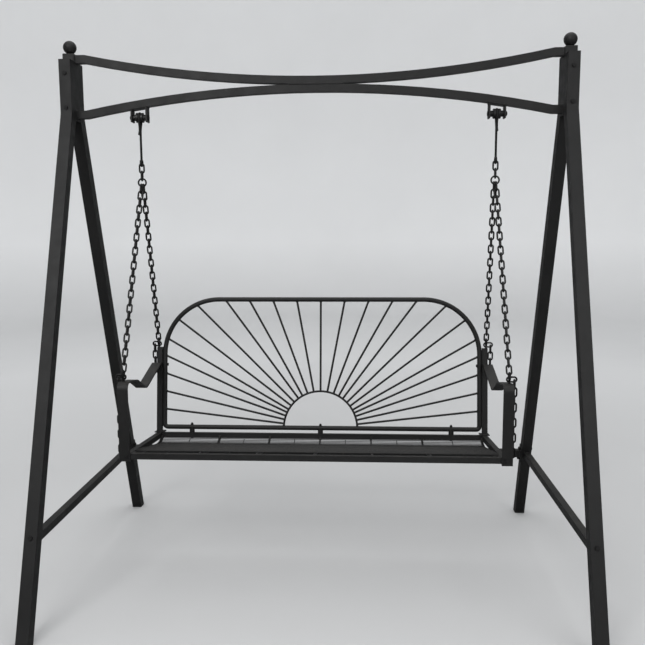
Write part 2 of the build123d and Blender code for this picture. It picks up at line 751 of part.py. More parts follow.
# ======================================================================= back
def back_outline():
    """Centre line of the back tube in its own plane."""
    w, h, r = BACK_HALF, BACK_HIGH, BACK_CORNER
    q = r * (1 - cos(radians(45)))
    foot = BACK_R * 1.5
    k = foot * (1 - cos(radians(45)))
    edges = [
        Line((-w + foot, 0), (w - foot, 0)),
        ThreePointArc((w - foot, 0), (w - k, k), (w, foot)),
        Line((w, foot), (w, h - r)),
        ThreePointArc((w, h - r), (w - q, h - q), (w - r, h)),
        Line((w - r, h), (-w + r, h)),
        ThreePointArc((-w + r, h), (-w + q, h - q), (-w, h - r)),
        Line((-w, h - r), (-w, foot)),
        ThreePointArc((-w, foot), (-w + k, k), (-w + foot, 0)),
    ]
    return BACK_PLANE.location * Wire([e.edge() for e in edges])


def back_solid(radius):
    path = back_outline()
    return sweep(Plane(path @ 0, z_dir=path % 0) * Circle(radius), path)


def side_bolt_y():
    return back_line_y(SIDE_BOLT_Z)


def back_frame():
    tube = back_solid(BACK_R) - back_solid(BACK_R - BACK_WALL)
    for x in (-SPACER_X, 0, SPACER_X):
        a = seat_point(x, SEAT_HALF, 0)
        tube -= rod(a, a + SEAT_NORMAL * 60, M6_R + HOLE_GAP)
    for side in (-1, 1):
        a = (side * 590, side_bolt_y(), SIDE_BOLT_Z)
        tube -= rod(a, (side * 650, side_bolt_y(), SIDE_BOLT_Z), M6_R + HOLE_GAP)
    return tube


def sun_arc():
    """Half ring standing on the bottom tube."""
    path = BACK_PLANE.location * Wire([
        ThreePointArc((-SUN_R, 0), (0, SUN_R), (SUN_R, 0)).edge()])
    return sweep(Plane(path @ 0, z_dir=path % 0) * Circle(ROD_R), path)


def ray_angles():
    """Angles of the right-hand rays above the bottom tube, in degrees."""
    sides = [degrees(atan2(SIDE_RAY_STEP * k, BACK_HALF - BACK_R)) for k in range(1, 6)]
    tops = [degrees(atan2(BACK_HIGH - BACK_R, TOP_RAY_STEP * k)) for k in (4, 3, 2, 1)]
    return sides + list(CORNER_RAYS) + tops


def ray_reach(angle):
    """Distance from the sun's centre to the frame centre line along a ray."""
    c, s = cos(radians(angle)), sin(radians(angle))
    w, h, r = BACK_HALF, BACK_HIGH, BACK_CORNER
    if s / c * w <= h - r:
        return w / c
    if c / s * h <= w - r:
        return h / s
    cx, cy = w - r, h - r
    b = c * cx + s * cy
    return b + sqrt(b * b - cx * cx - cy * cy + r * r)


def ray(angle, frame, arc):
    """Straight rod from the sun to the frame, trimmed to both."""
    a = radians(angle)
    reach = ray_reach(min(angle, 180 - angle)) if angle != 90 else BACK_HIGH
    ends = [Vector(d * cos(a), d * sin(a), 0) for d in (SUN_R, reach)]
    inner, outer = [BACK_PLANE.from_local_coords(p) for p in ends]
    return rod(inner, outer, ROD_R) - frame - arc


def sun_rays():
    frame, arc = back_solid(BACK_R), sun_arc()
    right = ray_angles()
    angles = right + [90.0] + [180.0 - a for a in right]
    return [ray(a, frame, arc) for a in angles]


def spacer(x):
    a = seat_point(x, SEAT_HALF, SEAT_BAR / 2)
    body = rod(a, a + SEAT_NORMAL * (SPACER_H + BACK_R), SPACER_R)
    body -= rod(a - SEAT_NORMAL, a + SEAT_NORMAL * 40, M6_R + HOLE_GAP)
    return body - back_solid(BACK_R)


def back_bolt(x):
    head = seat_point(x, SEAT_HALF, -SEAT_BAR / 2)
    length = SEAT_BAR + SPACER_H + 2 * BACK_R + NUT_6 + TAIL
    return bolt(head, SEAT_NORMAL, length, M6_R, HEX_6, HEAD_6)


def back_nut(x):
    face = seat_point(x, SEAT_HALF, SEAT_BAR / 2 + SPACER_H + 2 * BACK_R)
    return nut(face, SEAT_NORMAL, NUT_6, M6_R, HEX_6)


# ========================================================== uprights and arms
def upright(side):
    """Rear upright on a foot plate, closed on top by a block for the eye bolt."""
    x, half = side * RAIL_X, SEAT_BAR / 2
    low, high = BACK_Z - 60, UPRIGHT_TOP + 20
    path = Wire([Line((x, back_line_y(high), high), (x, back_line_y(low), low)).edge()])
    plane = Plane(path @ 0, x_dir=(1, 0, 0), z_dir=path % 0)
    full = extrude(plane * Rectangle(2 * half, 2 * half), path.length)
    bore = extrude(plane * Rectangle(2 * (half - WALL), 2 * (half - WALL)), path.length)
    bore -= box(-FAR, FAR, 0, FAR, UPRIGHT_TOP - BLOCK_H, FAR)
    plate_top = half + FOOT_PLATE
    full -= seat_box(-FAR, FAR, 0, FAR, -FAR, plate_top)
    full -= box(-FAR, FAR, 0, FAR, UPRIGHT_TOP, FAR)
    plate = seat_box(x - FOOT_PLATE_HALF, x + FOOT_PLATE_HALF, SEAT_HALF - FOOT_PLATE_LAP,
                     RAIL_REAR - FOOT_PLATE_BACK, half, plate_top)
    hole = seat_point(x, SEAT_HALF + FOOT_BOLT, 0)
    plate -= rod(hole, hole + SEAT_NORMAL * 30, M6_R + HOLE_GAP)
    body = full - bore + plate
    eye = eye_point(side, 1)
    body -= rod((eye.X, eye.Y, eye.Z), (eye.X, eye.Y, UPRIGHT_TOP - BLOCK_H), EYE_ROD)
    inward = (x - side * 20, side_bolt_y(), SIDE_BOLT_Z)
    body -= rod(inward, (x, side_bolt_y(), SIDE_BOLT_Z), M6_R + HOLE_GAP)
    tab = arm_tab_point(side)
    body -= rod(tab, tab + back_normal() * -40, M6_R + HOLE_GAP)
    return body


def back_normal():
    """Unit vector square to the back and the uprights, pointing forward."""
    return Vector(0, -cos(BACK_TILT), sin(BACK_TILT))


def back_up():
    return Vector(0, sin(BACK_TILT), cos(BACK_TILT))


def arm_tab_point(side):
    """Point on the front face of an upright where the arm is bolted."""
    z = ARM_REAR_Z - TAB_BOLT
    return Vector(side * RAIL_X, back_line_y(z), z) + back_normal() * (SEAT_BAR / 2)


def arm_points(x):
    """Centre line of the arm strip: tab, dip, hump, front bend and front post."""
    face = Vector(x, back_line_y(ARM_REAR_Z), ARM_REAR_Z)
    face = face + back_normal() * (SEAT_BAR / 2 + ARM_T / 2)
    tab = face - back_up() * TAB_LEN
    dip = Vector(x, ARM_DIP_Y, ARM_DIP_Z)
    hump = Vector(x, ARM_HUMP_Y, ARM_HUMP_Z)
    front = Vector(x, ARM_FRONT_Y, ARM_FRONT_Z)
    return [tab, face, dip, hump, front, Vector(x, ARM_FRONT_Y, ARM_FOOT_Z)]


def arm_top(y):
    """Height of the arm's upper face between its hump and front bend."""
    slope = (ARM_FRONT_Z - ARM_HUMP_Z) / (ARM_FRONT_Y - ARM_HUMP_Y)
    middle = ARM_HUMP_Z + slope * (y - ARM_HUMP_Y)
    return middle + ARM_T / 2 * sqrt(1 + slope * slope)


def arm_bolt_z():
    """Height of the bolt that holds the front post of an arm to its rail."""
    drop = (rail_front_y() - SEAT_Y) * tan(SEAT_TILT)
    return SEAT_Z - drop


def armrest(side):
    """One bent strip: bolted to the upright, dipped, then down as the front post."""
    path = rounded_path(arm_points(side * ARM_X), ARM_BENDS)
    section = Plane(path @ 0, x_dir=(1, 0, 0), z_dir=path % 0) * Rectangle(ARM_W, ARM_T)
    strip = sweep(section, path)
    eye = eye_point(side, -1)
    strip -= rod((eye.X, eye.Y, eye.Z), (eye.X, eye.Y, eye.Z - 60), EYE_ROD + HOLE_GAP)
    strip -= eye_seat(side, 12)
    tab = arm_tab_point(side)
    strip -= rod(tab - back_normal() * 5, tab + back_normal() * 20, M6_R + HOLE_GAP)
    x, z = side * RAIL_X, arm_bolt_z()
    return strip - rod((x, ARM_FRONT_Y - 20, z), (x, ARM_FRONT_Y + 20, z), M6_R + HOLE_GAP)


def eye_seat(side, height):
    """Level spot face under the collar of a front eye bolt."""
    eye = eye_point(side, -1)
    base = eye.Z - EYE_RISE
    return rod((eye.X, eye.Y, base), (eye.X, eye.Y, base + height), COLLAR_R + 0.5)


def front_eye_nut(side):
    """Nut and level washer under the arm."""
    eye = eye_point(side, -1)
    face = eye.Z - EYE_RISE - ARM_T - EYE_WASHER
    return nut((eye.X, eye.Y, face), (0, 0, -1), NUT_6, M6_R, HEX_6)


def arm_front_bolt(side):
    head = (side * RAIL_X, ARM_FRONT_Y - ARM_T / 2, arm_bolt_z())
    return bolt(head, (0, 1, 0), ARM_T + BLOCK_H - 4, M6_R, HEX_6, HEAD_6)


def arm_tab_bolt(side):
    head = arm_tab_point(side) + back_normal() * ARM_T
    length = ARM_T + SEAT_BAR + NUT_6 + TAIL
    return bolt(head, back_normal() * -1, length, M6_R, HEX_6, HEAD_6)


def arm_tab_nut(side):
    face = arm_tab_point(side) - back_normal() * SEAT_BAR
    return nut(face, back_normal() * -1, NUT_6, M6_R, HEX_6)


def side_bolt(side):
    """Bolt from the back's side tube into a nut inside the upright."""
    inner = BACK_HALF - BACK_R
    head = (side * inner, side_bolt_y(), SIDE_BOLT_Z)
    return bolt(head, (side, 0, 0), RAIL_IN + WALL + NUT_6 + TAIL - inner, M6_R, HEX_6, HEAD_6)


def side_nut(side):
    face = (side * (RAIL_IN + WALL), side_bolt_y(), SIDE_BOLT_Z)
    return nut(face, (side, 0, 0), NUT_6, M6_R, HEX_6)


def side_washer(side):
    """Washer that fills the gap between upright and back tube."""
    a = (side * (BACK_HALF + BACK_R), side_bolt_y(), SIDE_BOLT_Z)
    b = (side * RAIL_IN, side_bolt_y(), SIDE_BOLT_Z)
    return rod(a, b, WASHER_R) - rod((side * 600, a[1], a[2]), (side * 650, a[1], a[2]), M6_R + HOLE_GAP)


def foot_bolt(side):
    """Bolt from the foot plate of an upright down through the side rail."""
    top = seat_point(side * RAIL_X, SEAT_HALF + FOOT_BOLT, SEAT_BAR / 2 + FOOT_PLATE)
    return bolt(top, SEAT_NORMAL * -1, FOOT_PLATE + SEAT_BAR + NUT_6 + TAIL, M6_R, HEX_6, HEAD_6)


def foot_nut(side):
    face = seat_point(side * RAIL_X, SEAT_HALF + FOOT_BOLT, -SEAT_BAR / 2)
    return nut(face, SEAT_NORMAL * -1, NUT_6, M6_R, HEX_6)


# ===================================================================== output
SIDES = (("left", -1), ("right", 1))


def both(maker):
    return [maker(-1), maker(1)]


def fastener_nodes():
    corners = [(s, f) for s in (-1, 1) for f in (-1, 1)]
    return {
        "post_bolts": [post_bolt(s, z) for s in (-1, 1) for z in POST_BOLT_Z],
        "crossbar_bolts": [crossbar_bolt(s, f) for s, f in corners],
        "stretcher_bolts": [stretcher_bolt(s, f * FLANGE_BOLT) for s, f in corners],
        "stand_nuts": [post_nut(s, z) for s in (-1, 1) for z in POST_BOLT_Z]
        + [crossbar_nut(s, f) for s, f in corners]
        + [stretcher_nut(s, f * FLANGE_BOLT) for s, f in corners],
        "foot_caps": [foot_cap(s, f) for s, f in corners],
        "leg_top_caps": [leg_top_cap(s, f) for s, f in corners],
        "hanger_bolts": both(hanger_bolt),
        "hanger_nuts": both(hanger_nut),
    }


def stand_nodes():
    nodes = {"upper_beam": [beam(1)], "lower_beam": [beam(-1)]}
    for name, side in SIDES:
        nodes[name + "_front_leg"] = [leg(side, -1)]
        nodes[name + "_rear_leg"] = [leg(side, 1)]
        nodes[name + "_post"] = [post(side)]
        nodes[name + "_finial"] = [finial(side)]
        nodes[name + "_crossbar"] = [crossbar(side)]
        nodes[name + "_hanger_bracket"] = [hanger_bracket(side)]
    nodes["rear_stretcher"] = [rear_stretcher()]
    return nodes


def hanging_nodes():
    nodes = {
        "top_links": top_links(-1) + top_links(1),
        "joining_rings": both(joining_ring),
    }
    for name, side in SIDES:
        nodes[name + "_roller"] = [roller(side)]
        nodes[name + "_hook"] = [hook(side)]
        nodes[name + "_front_chain"] = bearing_chain(side, -1, FRONT_LINKS) + spare_links(side, -1)
        nodes[name + "_rear_chain"] = bearing_chain(side, 1, REAR_LINKS) + spare_links(side, 1)
        nodes[name + "_front_chain_tail"] = chain_tail(side, -1, FRONT_TAIL_LINKS)
        nodes[name + "_rear_chain_tail"] = chain_tail(side, 1, REAR_TAIL_LINKS)
    return nodes


def bench_nodes():
    spots = (-SPACER_X, 0, SPACER_X)
    nodes = {
        "seat_front_bar": [seat_bar(-SEAT_HALF)],
        "seat_rear_bar": [seat_bar(SEAT_HALF)],
        "seat_ribs": [rib(x) for x in rib_positions()],
        "seat_mesh": long_wires() + cross_wires(),
        "seat_rail_plugs": both(rail_plug),
        "back_frame": [back_frame()],
        "sun_arc": [sun_arc() - back_solid(BACK_R)],
        "sun_rays": sun_rays(),
        "back_spacers": [spacer(x) for x in spots],
        "back_bolts": [back_bolt(x) for x in spots],
        "eye_bolts": [eye_bolt(s, f) for s in (-1, 1) for f in (-1, 1)],
        "arm_bolts": both(arm_front_bolt) + both(arm_tab_bolt),
        "back_side_bolts": both(side_bolt),
        "back_side_washers": both(side_washer),
        "foot_plate_bolts": both(foot_bolt),
        "bench_nuts": [back_nut(x) for x in spots] + both(front_eye_nut)
        + both(arm_tab_nut) + both(side_nut) + both(foot_nut),
    }
    for name, side in SIDES:
        nodes[name + "_seat_rail"] = [seat_rail(side)]
        nodes[name + "_upright"] = [upright(side)]
        nodes[name + "_armrest"] = [armrest(side)]
    return nodes


os.makedirs("parts", exist_ok=True)
nodes = {**stand_nodes(), **fastener_nodes(), **hanging_nodes(), **bench_nodes()}
for label, shapes in nodes.items():
    export_step(group(shapes, label), "parts/" + label + ".step")
print(len(nodes), "nodes")
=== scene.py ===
import json
import math

import bmesh
import bpy
import numpy as np
from mathutils import Matrix, Vector


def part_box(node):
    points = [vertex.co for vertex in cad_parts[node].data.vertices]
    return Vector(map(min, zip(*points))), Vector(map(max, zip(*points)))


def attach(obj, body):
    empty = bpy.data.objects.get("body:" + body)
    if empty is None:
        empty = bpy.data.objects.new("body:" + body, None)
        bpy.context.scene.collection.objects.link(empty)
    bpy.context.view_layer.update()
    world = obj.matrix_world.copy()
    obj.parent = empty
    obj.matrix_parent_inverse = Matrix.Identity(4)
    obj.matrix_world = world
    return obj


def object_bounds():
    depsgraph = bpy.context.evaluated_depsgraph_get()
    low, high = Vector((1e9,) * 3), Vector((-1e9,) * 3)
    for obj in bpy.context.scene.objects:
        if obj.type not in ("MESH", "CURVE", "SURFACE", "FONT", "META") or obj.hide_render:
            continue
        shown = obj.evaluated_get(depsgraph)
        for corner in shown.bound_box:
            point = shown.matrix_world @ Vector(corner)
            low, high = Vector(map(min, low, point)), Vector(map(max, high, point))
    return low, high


# Looks for the A-frame porch swing: satin black powder coat on the tubes and the
# mesh seat, dipped chain, black zinc fixings, plastic caps, weld beads, the seams
# of the chain links and the threads past each nut.  Metres, in the frame of the
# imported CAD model.

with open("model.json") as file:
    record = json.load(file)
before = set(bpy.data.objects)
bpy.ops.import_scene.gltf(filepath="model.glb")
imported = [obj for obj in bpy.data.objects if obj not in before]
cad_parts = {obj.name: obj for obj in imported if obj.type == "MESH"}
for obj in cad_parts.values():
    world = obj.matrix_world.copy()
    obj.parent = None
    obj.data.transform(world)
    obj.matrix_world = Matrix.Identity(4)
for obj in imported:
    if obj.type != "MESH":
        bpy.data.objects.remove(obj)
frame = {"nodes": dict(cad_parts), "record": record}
cad_low, cad_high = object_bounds()
nodes = frame["nodes"]
scene = bpy.context.scene

MM = 0.001

# Radii of the weld beads
SPOT_BEAD = 0.9 * MM       # a mesh wire on a rib
SEAM_BEAD = 1.3 * MM       # the upset seam of a chain link
ROD_BEAD = 1.5 * MM        # a thin rod
STRIP_BEAD = 1.7 * MM      # flat steel
BAR_BEAD = 2.0 * MM        # the bench's square tubes
TUBE_BEAD = 2.8 * MM       # the stand's square tubes

RIPPLE_PITCH = 2.6 * MM
RIPPLE_DEPTH = 0.22        # share of the radius
BEAD_SIDES = 8
BEAD_TIP = 0.45            # share of the radius that an open bead starts with
BEAD_GROWTH = 0.3          # share of the radius that it gains with each ring
RING_SIDES = 20
MID_WELD = 95 * MM         # half length of the weld where the two beams touch
MID_WELD_Y = 0.97          # where it lies, as a share of the beam's half width
RAY_WELD_IN = 1.4 * MM     # how far a ray's weld lies in from the ray's end
FOOT_WELD_OUT = 0.4 * MM   # and the sun's weld outside the bottom tube
SEAM_SINK = 0.7 * MM       # how deep a link's seam is sunk in the wire
SEAM_STEP = 1.1 * MM       # between the rings of its bead

THREAD_SIDES = 20          # points in one turn of a thread
THREAD_PITCH = 0.31        # share of the bolt's radius
THREAD_CREST = 0.36        # share of the pitch
THREAD_SINK = 0.1 * MM
SHANK_PLAY = 0.4 * MM      # a bolt's points may lie this far outside the nut's bore
SHORTEST_END = 1 * MM      # of a bolt, past its nut
LONGEST_END = 5 * MM

# Sizes of the CAD parts that the beads lie on
ROD_R = 4 * MM             # sun arc and rays
BACK_R = 9 * MM            # tube of the back frame
WIRE_R = 3 * MM            # chain links
BEAM_DEPTH = 27.55 * MM    # upright cut through a beam's sloping end
STRETCHER_HALF = 15 * MM
FLANGE_T = 4 * MM          # at each end of the stretcher
UPRIGHT_HALF = 10 * MM

# How the script finds its way on the CAD meshes
SAME = 0.05 * MM           # points closer than this lie on one face
NEAR = 0.3 * MM            # points this close to a bar's end belong to it
RIB_END = 2.5 * MM         # and these to the end of a dished rib
FAR_SIDE = 12 * MM         # points further apart lie on two sides of an upright
NUT_CORNERS = 12
SQUARE = ((1, 1), (-1, 1), (-1, -1), (1, -1))
ALONG_X = Vector((1, 0, 0))
ALONG_Z = Vector((0, 0, 1))


# ------------------------------------------------------------------ node trees
def new_material(name):
    mat = bpy.data.materials.new(name)
    mat.use_nodes = True
    mat.node_tree.nodes.clear()
    return mat, mat.node_tree


def node(tree, kind, inputs=None, **settings):
    """Adds a shader node; an input is a value or another node's output."""
    n = tree.nodes.new("ShaderNode" + kind)
    for key, value in settings.items():
        setattr(n, key, value)
    for key, value in (inputs or {}).items():
        if isinstance(value, bpy.types.NodeSocket):
            tree.links.new(value, n.inputs[key])
        else:
            n.inputs[key].default_value = value
    return n


def noise(tree, where, scale, detail=3.0, rough=0.55):
    inputs = {"Vector": where, "Scale": scale, "Detail": detail, "Roughness": rough}
    return node(tree, "TexNoise", inputs).outputs["Fac"]


def ramp(tree, value, low, high, out_low=0.0, out_high=1.0):
    inputs = {"Value": value, "From Min": low, "From Max": high,
              "To Min": out_low, "To Max": out_high}
    return node(tree, "MapRange", inputs).outputs["Result"]


def calc(tree, operation, a, b=0.0):
    return node(tree, "Math", {0: a, 1: b}, operation=operation).outputs[0]


def mix(tree, share, a, b):
    """Colour a where share is 0, colour b where it is 1."""
    return node(tree, "Mix", {0: share, 6: a, 7: b}, data_type="RGBA").outputs[2]


def grey(value, warm=0.0):
    return (value * (1 + warm), value, value * (1 - warm), 1.0)


SPECULAR = 0.23            # rough powder coat mirrors less than bare lacquer
DUST = (0.21, 0.195, 0.175, 1.0)
CLOUDS, SMEARS, SPECKS = 6.0, 31.0, 1600.0     # noise scales, per metre
FLAT, SHARP = 0.985, 0.86  # cosine of the bevel's turn: no wear above, full wear below


def coat(name, base, rough, peel_size, peel_depth, dust=0.12, wear=0.35,
         gloss=0.0, edge=0.8 * MM):
    """Powder coat or a similar finish: cloudy film, orange peel with a painted highlight on its
    tops, dust, worn edges.
    """
    mat, tree = new_material(name)
    where = node(tree, "TexCoord").outputs["Object"]
    cloud = noise(tree, where, CLOUDS, 5.0)
    smear = noise(tree, where, SMEARS, 5.0, 0.65)
    peel = noise(tree, where, 1 / peel_size, 2.0, 0.4)
    specks = noise(tree, where, SPECKS, 1.0)
    geometry = node(tree, "NewGeometry")

    # a cloudy film, with a painted highlight on the tops of the orange peel
    film = mix(tree, ramp(tree, cloud, 0.32, 0.68), grey(base * 0.78), grey(base * 1.22, 0.02))
    film = mix(tree, ramp(tree, peel, 0.35, 0.7, 0.0, 0.35), film, grey(base * 1.5))

    # dust on what faces up
    up = node(tree, "SeparateXYZ", {0: geometry.outputs["Normal"]}).outputs["Z"]
    settled = calc(tree, "MULTIPLY", ramp(tree, up, 0.35, 0.95), ramp(tree, smear, 0.38, 0.72))
    settled = calc(tree, "MULTIPLY", settled, dust)
    film = mix(tree, settled, film, DUST)

    # softened edges, worn lighter in places
    surface = geometry.outputs["Normal"]
    if edge:
        rounded = node(tree, "Bevel", {"Radius": edge}, samples=4).outputs["Normal"]
        turn = node(tree, "VectorMath", {0: rounded, 1: surface}, operation="DOT_PRODUCT")
        rim = ramp(tree, turn.outputs["Value"], FLAT, SHARP)
        rim = calc(tree, "MULTIPLY", rim, ramp(tree, smear, 0.46, 0.62))
        rim = calc(tree, "MULTIPLY", rim, wear)
        film = mix(tree, rim, film, grey(base * 3.2 + 0.02, 0.03))
        surface = rounded

    shine = ramp(tree, smear, 0.3, 0.72, rough - 0.07, rough + 0.09)
    shine = calc(tree, "ADD", shine, calc(tree, "MULTIPLY", settled, 0.6))
    height = calc(tree, "ADD", peel, calc(tree, "MULTIPLY", specks, 0.3))
    bump_in = {"Height": height, "Distance": peel_depth, "Strength": 0.8, "Normal": surface}
    bump = node(tree, "Bump", bump_in).outputs["Normal"]
    skin = node(tree, "BsdfPrincipled", {
        "Base Color": film, "Roughness": shine, "Normal": bump,
        "Specular IOR Level": SPECULAR, "Coat Weight": gloss, "Coat Roughness": 0.22})
    tree.links.new(skin.outputs[0], node(tree, "OutputMaterial").inputs["Surface"])
    return mat


# Painted shade and light on the paper: darker near the object, lighter far out on the floor and up
# the wall, evening out how the lamps light it
NEAR_SHADE_TONE, FAR_LIGHT_TONE, WALL_LIGHT_TONE = 0.475, 0.63, 0.81
NEAR_RUN, FAR_RUN = 1.8, 4.5
WALL_RISE = 1.0
MOTTLE = 0.03
GLOSS_DIM = 0.65           # painted shade in reflections: the paper is darker where glossy rays see it, standing in for a dim room behind the camera


def studio_paint(name):
    """Matt pale paper with painted shade underfoot and painted light far out and up the sweep
    behind.
    """
    mat, tree = new_material(name)
    where = node(tree, "TexCoord").outputs["Object"]
    drift = ramp(tree, noise(tree, where, 0.7, 3.0), 0.3, 0.7)
    away = node(tree, "VectorMath", {0: where}, operation="LENGTH").outputs["Value"]
    # painted shade near the object, painted light further out on the floor and up the wall
    tone = mix(tree, ramp(tree, away, NEAR_RUN, FAR_RUN), grey(NEAR_SHADE_TONE), grey(FAR_LIGHT_TONE))
    height = node(tree, "SeparateXYZ", {0: where}).outputs["Z"]
    tone = mix(tree, ramp(tree, height, 0.0, WALL_RISE), tone, grey(WALL_LIGHT_TONE))
    shaded = mix(tree, MOTTLE, tone, grey(0.0))
    colour = mix(tree, drift, shaded, tone)
    # painted shade in reflections: the paper is darkened where it is seen by a glossy ray
    seen = node(tree, "LightPath").outputs["Is Glossy Ray"]
    colour = mix(tree, calc(tree, "MULTIPLY", seen, GLOSS_DIM), colour, grey(0.0))
    bump_in = {"Height": noise(tree, where, 90.0, 3.0), "Distance": 0.4 * MM, "Strength": 0.3}
    bump = node(tree, "Bump", bump_in).outputs["Normal"]
    skin = node(tree, "BsdfPrincipled", {"Base Color": colour, "Roughness": 0.85, "Normal": bump})
    tree.links.new(skin.outputs[0], node(tree, "OutputMaterial").inputs["Surface"])
    return mat


FRAME_BLACK = 0.0085
materials = {
    "powder_coat": coat("powder_coat", FRAME_BLACK, rough=0.50,
                        peel_size=1.7 * MM, peel_depth=0.16 * MM),
    "coated_chain": coat("coated_chain", 0.006, rough=0.42,
                         peel_size=2.4 * MM, peel_depth=0.22 * MM,
                         dust=0.14, gloss=0.08, edge=0.0),
    "dark_fixings": coat("dark_fixings", 0.004, rough=0.60,
                         peel_size=0.9 * MM, peel_depth=0.07 * MM,
                         dust=0.03, wear=0.4, edge=0.6 * MM),
    "black_plastic": coat("black_plastic", 0.008, rough=0.58,
                          peel_size=0.6 * MM, peel_depth=0.09 * MM,
                          dust=0.2, wear=0.2, edge=1.0 * MM),
    "nylon": coat("nylon", 0.007, rough=0.40,
                  peel_size=3.0 * MM, peel_depth=0.05 * MM,
                  dust=0.1, wear=0.25, gloss=0.05),
    "weld": coat("weld_under_coat", FRAME_BLACK * 0.95, rough=0.40,
                 peel_size=1.2 * MM, peel_depth=0.2 * MM, edge=0.0),
}

for sub in frame["record"]["subparts"]:
    skin = nodes[sub["node"]].data.materials
    skin.clear()
    skin.append(materials[sub["material_slot"]])


# ------------------------------------------------------------------ CAD shapes
def solids(name):
    """The separate solids of a CAD node, each as an array of its points."""
    bm = bmesh.new()
    bm.from_mesh(nodes[name].data)
    bmesh.ops.remove_doubles(bm, verts=bm.verts, dist=1e-6)
    seen, found = set(), []
    for first in bm.verts:
        if first in seen:
            continue
        seen.add(first)
        stack, points = [first], []
        while stack:
            v = stack.pop()
            points.append(tuple(v.co))
            for e in v.link_edges:
                other = e.other_vert(v)
                if other not in seen:
                    seen.add(other)
                    stack.append(other)
        found.append(np.array(points))
    bm.free()
    return found


def main_axes(points):
    """Middle of the points and their axes, the longest first."""
    middle = points.mean(0)
    vectors = np.linalg.eigh(np.cov((points - middle).T))[1]
    return middle, [Vector(vectors[:, k]) for k in (2, 1, 0)]


def along(points, origin, axis):
    """How far each point lies from the origin along an axis."""
    return (points - np.array(origin)) @ np.array(axis)


def aside(points, origin, axis):
    """How far each point lies from the line through the origin along an axis."""
    run = along(points, origin, axis)
    return np.linalg.norm(points - np.array(origin) - np.outer(run, np.array(axis)), axis=1)


def end_corners(points, side):
    """The four outer corners of a bar's end, in order, where X is least (-1) or greatest (+1)."""
    edge = (side * points[:, 0]).max()
    face = points[side * points[:, 0] > edge - NEAR]
    yz = face[:, 1:] - face[:, 1:].mean(0)
    corners = []
    for u, v in SQUARE:
        corners.append(Vector(face[int(np.argmax(yz[:, 0] * u + yz[:, 1] * v))]))
    return corners


# ----------------------------------------------------------------------- beads
def resample(points, closed, step):
    """The same line with points a step apart, and the distance run at each."""
    pts = list(points) + ([points[0]] if closed else [])
    runs = [(b - a).length for a, b in zip(pts, pts[1:])]
    total = sum(runs)
    count = max(int(round(total / step)), 3)
    out, k, passed = [], 0, 0.0
    for i in range(count if closed else count + 1):
        s = min(total * i / count, total - 1e-9)
        while k < len(runs) - 1 and passed + runs[k] < s:
            passed += runs[k]
            k += 1
        out.append((pts[k].lerp(pts[k + 1], (s - passed) / max(runs[k], 1e-9)), s))
    return out


def add_bead(bm, points, radius, normal=None, closed=False, ripple=RIPPLE_DEPTH,
             step=RIPPLE_PITCH / 4):
    """Lays one bead along a line, its radius swelling and shrinking like a stacked weld."""
    line = resample(points, closed, step)
    n = len(line)
    rings = []
    for i, (p, s) in enumerate(line):
        before = line[i - 1][0] if closed or i > 0 else p
        after = line[(i + 1) % n][0] if closed or i < n - 1 else p
        ahead = (after - before).normalized()
        up = (normal or ahead.orthogonal()).normalized()
        side = ahead.cross(up).normalized()
        up = side.cross(ahead)
        r = radius * (1 - ripple * abs(math.sin(math.pi * s / RIPPLE_PITCH)))
        if not closed:
            r *= min(1.0, BEAD_TIP + BEAD_GROWTH * min(i, n - 1 - i))
        turn = [2 * math.pi * k / BEAD_SIDES for k in range(BEAD_SIDES)]
        rings.append([bm.verts.new(p + (side * math.cos(t) + up * math.sin(t)) * r) for t in turn])
    for i in range(n if closed else n - 1):
        a, b = rings[i], rings[(i + 1) % n]
        for k in range(BEAD_SIDES):
            j = (k + 1) % BEAD_SIDES
            bm.faces.new((a[k], a[j], b[j], b[k]))
    if not closed:
        bm.faces.new(rings[0][::-1])
        bm.faces.new(rings[-1])


def ring_points(centre, axis, radius):
    """Points round a circle square to an axis."""
    axis = Vector(axis).normalized()
    u = axis.orthogonal().normalized()
    v = axis.cross(u)
    turn = [2 * math.pi * k / RING_SIDES for k in range(RING_SIDES)]
    return [Vector(centre) + (u * math.cos(t) + v * math.sin(t)) * radius for t in turn]


def add_ring(bm, centre, axis, radius, bead, **options):
    add_bead(bm, ring_points(centre, axis, radius), bead, Vector(axis), closed=True, **options)


def piece(name, bm, body, look):
    """Turns a finished bmesh into an object that rides on a body."""
    bmesh.ops.recalc_face_normals(bm, faces=bm.faces)
    mesh = bpy.data.meshes.new(name)
    bm.to_mesh(mesh)
    bm.free()
    mesh.polygons.foreach_set("use_smooth", [True] * len(mesh.polygons))
    mesh.materials.append(materials[look])
    obj = bpy.data.objects.new(name, mesh)
    scene.collection.objects.link(obj)
    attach(obj, body)


def beam_welds():
    """Beams to posts, beams to each other, hanger brackets to the lower beam."""
    bm = bmesh.new()
    for name, up in (("upper_beam", 1), ("lower_beam", -1)):
        low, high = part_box(name)
        z = high.z - BEAM_DEPTH / 2 if up > 0 else low.z + BEAM_DEPTH / 2
        for x in (low.x, high.x):
            loop = [Vector((x, s * high.y, z + t * BEAM_DEPTH / 2))
                    for s, t in SQUARE]
            add_bead(bm, loop, TUBE_BEAD, ALONG_X, closed=True)
    low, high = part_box("lower_beam")
    for y in (low.y, high.y):
        line = [Vector((x, y * MID_WELD_Y, high.z)) for x in (-MID_WELD, MID_WELD)]
        add_bead(bm, line, TUBE_BEAD)
    for name in ("left_hanger_bracket", "right_hanger_bracket"):
        points = solids(name)[0]
        low, high = points.min(0), points.max(0)
        tops = [points[abs(points[:, 0] - x) < NEAR][:, 2].max() for x in (low[0], high[0])]
        corners = ((low[0], low[1], tops[0]), (high[0], low[1], tops[1]),
                   (high[0], high[1], tops[1]), (low[0], high[1], tops[0]))
        loop = [Vector(corner) for corner in corners]
        add_bead(bm, loop, BAR_BEAD, ALONG_Z, closed=True)
    return bm


